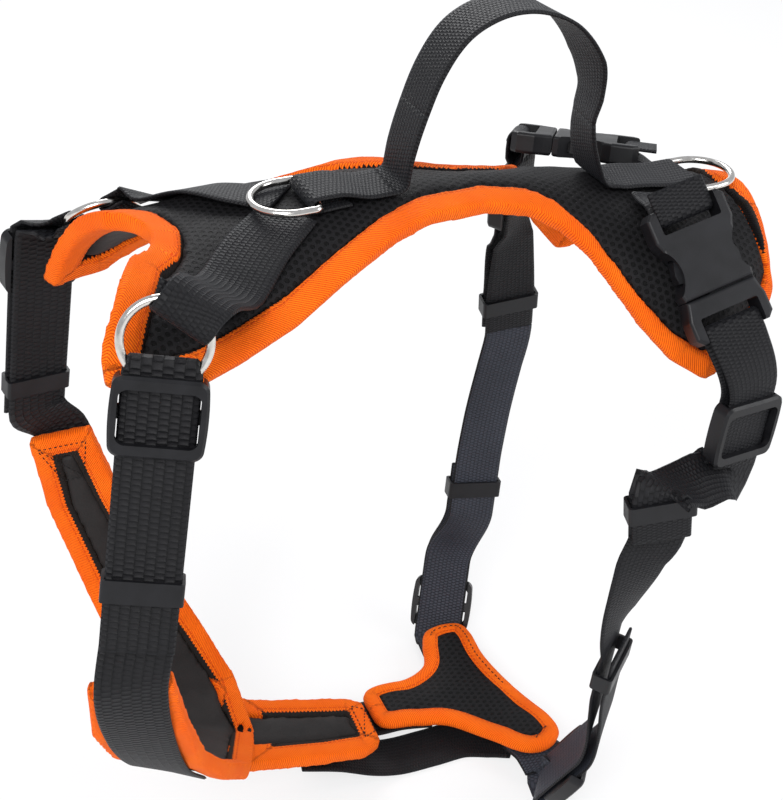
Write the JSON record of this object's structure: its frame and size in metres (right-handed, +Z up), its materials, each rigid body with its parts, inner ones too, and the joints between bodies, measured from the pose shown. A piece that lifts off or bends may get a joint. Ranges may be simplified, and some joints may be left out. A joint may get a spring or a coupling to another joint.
{
  "type": "no pull dog harness",
  "caption": "Step-in dog harness with a mesh back panel, padded chest and belly pieces, webbing straps, side buckles, lead rings and a grab handle.",
  "frame": {"origin": "centre of the bounding box at the level of the surface that the belly strap stands on", "axes": "+X towards the dog's tail, +Y towards the dog's right side, +Z up"},
  "size_m": [0.3113, 0.1865, 0.3747],
  "materials": {
    "air_mesh": "black open air-mesh cloth",
    "lining": "dark grey smooth lining cloth",
    "binding": "orange ribbed knit binding",
    "webbing": "black woven webbing",
    "nickel": "polished nickel plate",
    "plastic": "moulded black plastic, fine satin grain"
  },
  "bodies": {
    "harness": {"back_panel": "air_mesh", "back_panel_binding": "binding", "chest_panel": "lining", "chest_panel_binding": "binding", "belly_pad": "lining", "belly_pad_binding": "binding", "front_spine_webbing": "webbing", "rear_spine_webbing": "webbing", "handle_front_root": "webbing", "handle_rear_root": "webbing", "belly_link_webbing": "webbing", "belly_loop_webbing": "webbing", "left_shoulder_strap": "webbing", "left_yoke_webbing": "webbing", "left_cross_webbing": "webbing", "left_buckle_socket": "plastic", "left_girth_strap": "webbing", "left_belly_strap": "webbing", "right_shoulder_strap": "webbing", "right_yoke_webbing": "webbing", "right_cross_webbing": "webbing", "right_buckle_socket": "plastic", "right_girth_strap": "webbing", "right_belly_strap": "webbing"},
    "front_lead_ring": {"front_lead_ring": "nickel"},
    "rear_lead_ring": {"rear_lead_ring": "nickel"},
    "left_shoulder_ring": {"left_shoulder_ring": "nickel"},
    "right_shoulder_ring": {"right_shoulder_ring": "nickel"},
    "left_shoulder_slider": {"left_shoulder_slider": "plastic"},
    "left_shoulder_keeper": {"left_shoulder_keeper": "plastic"},
    "right_shoulder_slider": {"right_shoulder_slider": "plastic"},
    "right_shoulder_keeper": {"right_shoulder_keeper": "plastic"},
    "left_girth_slider": {"left_girth_slider": "plastic"},
    "left_girth_keeper": {"left_girth_keeper": "plastic"},
    "left_belly_keeper": {"left_belly_keeper": "plastic"},
    "left_belly_slider": {"left_belly_slider": "plastic"},
    "right_girth_slider": {"right_girth_slider": "plastic"},
    "right_girth_keeper": {"right_girth_keeper": "plastic"},
    "right_belly_keeper": {"right_belly_keeper": "plastic"},
    "right_belly_slider": {"right_belly_slider": "plastic"},
    "left_buckle_plug": {"left_buckle_plug": "plastic"},
    "left_buckle_front_prong": {"left_buckle_front_prong": "plastic"},
    "left_buckle_rear_prong": {"left_buckle_rear_prong": "plastic"},
    "right_buckle_plug": {"right_buckle_plug": "plastic"},
    "right_buckle_front_prong": {"right_buckle_front_prong": "plastic"},
    "right_buckle_rear_prong": {"right_buckle_rear_prong": "plastic"},
    "handle_webbing": {"handle_webbing": "webbing"}
  },
  "joints": [
    {"name": "front_lead_ring_flip", "type": "hinge", "parent": "harness", "child": "front_lead_ring", "pos_m": [-0.03845, 0.0006, 0.313], "axis": [0, 1, -0.0011], "range_deg": [0, 110]},
    {"name": "rear_lead_ring_flip", "type": "hinge", "parent": "harness", "child": "rear_lead_ring", "pos_m": [0.12713, 0.0006, 0.29172], "axis": [0, -1, 0], "range_deg": [0, 110]},
    {"name": "left_shoulder_ring_spin", "type": "hinge", "parent": "harness", "child": "left_shoulder_ring", "pos_m": [-0.1122, -0.0691, 0.3042], "axis": [-0.2516, -0.9449, 0.2096], "continuous": true},
    {"name": "right_shoulder_ring_spin", "type": "hinge", "parent": "harness", "child": "right_shoulder_ring", "pos_m": [-0.1053, 0.0606, 0.29], "axis": [-0.0271, 0.6894, 0.7239], "continuous": true},
    {"name": "left_shoulder_slider_slide", "type": "slide", "parent": "harness", "child": "left_shoulder_slider", "axis": [-0.22, -0.155, -0.9631], "range_m": [0, 0.024]},
    {"name": "left_shoulder_keeper_slide", "type": "slide", "parent": "harness", "child": "left_shoulder_keeper", "axis": [-0.22, -0.155, -0.9631], "range_m": [-0.012, 0.014]},
    {"name": "right_shoulder_slider_slide", "type": "slide", "parent": "harness", "child": "right_shoulder_slider", "axis": [-0.1498, 0.1398, -0.9788], "range_m": [0, 0.024]},
    {"name": "right_shoulder_keeper_slide", "type": "slide", "parent": "harness", "child": "right_shoulder_keeper", "axis": [-0.1498, 0.1398, -0.9788], "range_m": [-0.012, 0.008]},
    {"name": "left_girth_slider_slide", "type": "slide", "parent": "harness", "child": "left_girth_slider", "axis": [-0.1, 0, -0.995], "range_m": [0, 0.01], "deforming": ["left_girth_strap"]},
    {"name": "left_girth_keeper_slide", "type": "slide", "parent": "harness", "child": "left_girth_keeper", "axis": [0.1005, 0, -0.9949], "range_m": [-0.001, 0.008]},
    {"name": "left_belly_keeper_slide", "type": "slide", "parent": "harness", "child": "left_belly_keeper", "axis": [-0.0301, 0.1203, -0.9923], "range_m": [-0.009, 0.009]},
    {"name": "left_belly_slider_slide", "type": "slide", "parent": "harness", "child": "left_belly_slider", "axis": [-0.2504, 0.4006, -0.8814], "range_m": [-0.009, 0]},
    {"name": "right_girth_slider_slide", "type": "slide", "parent": "harness", "child": "right_girth_slider", "axis": [0.0502, 0.2007, -0.9784], "range_m": [0, 0.025], "deforming": ["right_girth_strap"]},
    {"name": "right_girth_keeper_slide", "type": "slide", "parent": "harness", "child": "right_girth_keeper", "axis": [0.1, 0.1899, -0.9767], "range_m": [-0.001, 0.008]},
    {"name": "right_belly_keeper_slide", "type": "slide", "parent": "harness", "child": "right_belly_keeper", "axis": [-0.15, -0.106, -0.983], "range_m": [-0.009, 0.009]},
    {"name": "right_belly_slider_slide", "type": "slide", "parent": "harness", "child": "right_belly_slider", "axis": [-0.3198, -0.4197, -0.8494], "range_m": [-0.009, 0]},
    {"name": "left_buckle_release", "type": "slide", "parent": "harness", "child": "left_buckle_plug", "axis": [0.1642, -0.6206, -0.7667], "range_m": [0, 0.02], "deforming": ["left_girth_strap", "left_buckle_front_prong", "left_buckle_rear_prong"]},
    {"name": "left_buckle_front_prong_flex", "type": "hinge", "parent": "left_buckle_plug", "child": "left_buckle_front_prong", "pos_m": [0.10006, -0.05793, 0.269], "axis": [0.0965, 0.7837, -0.6136], "range_deg": [0, 8], "stiffness_Nm_per_rad": 0.03},
    {"name": "left_buckle_rear_prong_flex", "type": "hinge", "parent": "left_buckle_plug", "child": "left_buckle_rear_prong", "pos_m": [0.11674, -0.05747, 0.2722], "axis": [-0.0965, -0.7837, 0.6136], "range_deg": [0, 8], "stiffness_Nm_per_rad": 0.03},
    {"name": "right_buckle_release", "type": "slide", "parent": "harness", "child": "right_buckle_plug", "axis": [-0.8248, 0.5632, 0.0503], "range_m": [0, 0.02], "deforming": ["right_girth_strap", "right_buckle_front_prong", "right_buckle_rear_prong"]},
    {"name": "right_buckle_front_prong_flex", "type": "hinge", "parent": "right_buckle_plug", "child": "right_buckle_front_prong", "pos_m": [0.10023, 0.06043, 0.28955], "axis": [-0.1896, -0.1916, -0.963], "range_deg": [0, 8], "stiffness_Nm_per_rad": 0.03},
    {"name": "right_buckle_rear_prong_flex", "type": "hinge", "parent": "right_buckle_plug", "child": "right_buckle_rear_prong", "pos_m": [0.09117, 0.04677, 0.29405], "axis": [0.1896, 0.1916, 0.963], "range_deg": [0, 8], "stiffness_Nm_per_rad": 0.03},
    {"name": "handle_swing", "type": "hinge", "parent": "harness", "child": "handle_webbing", "pos_m": [-0.0073, 0.0006, 0.313], "axis": [0.9898, 0, -0.1422], "range_deg": [-60, 60], "stiffness_Nm_per_rad": 0.03, "deforming": ["handle_front_root", "handle_rear_root"]}
  ]
}
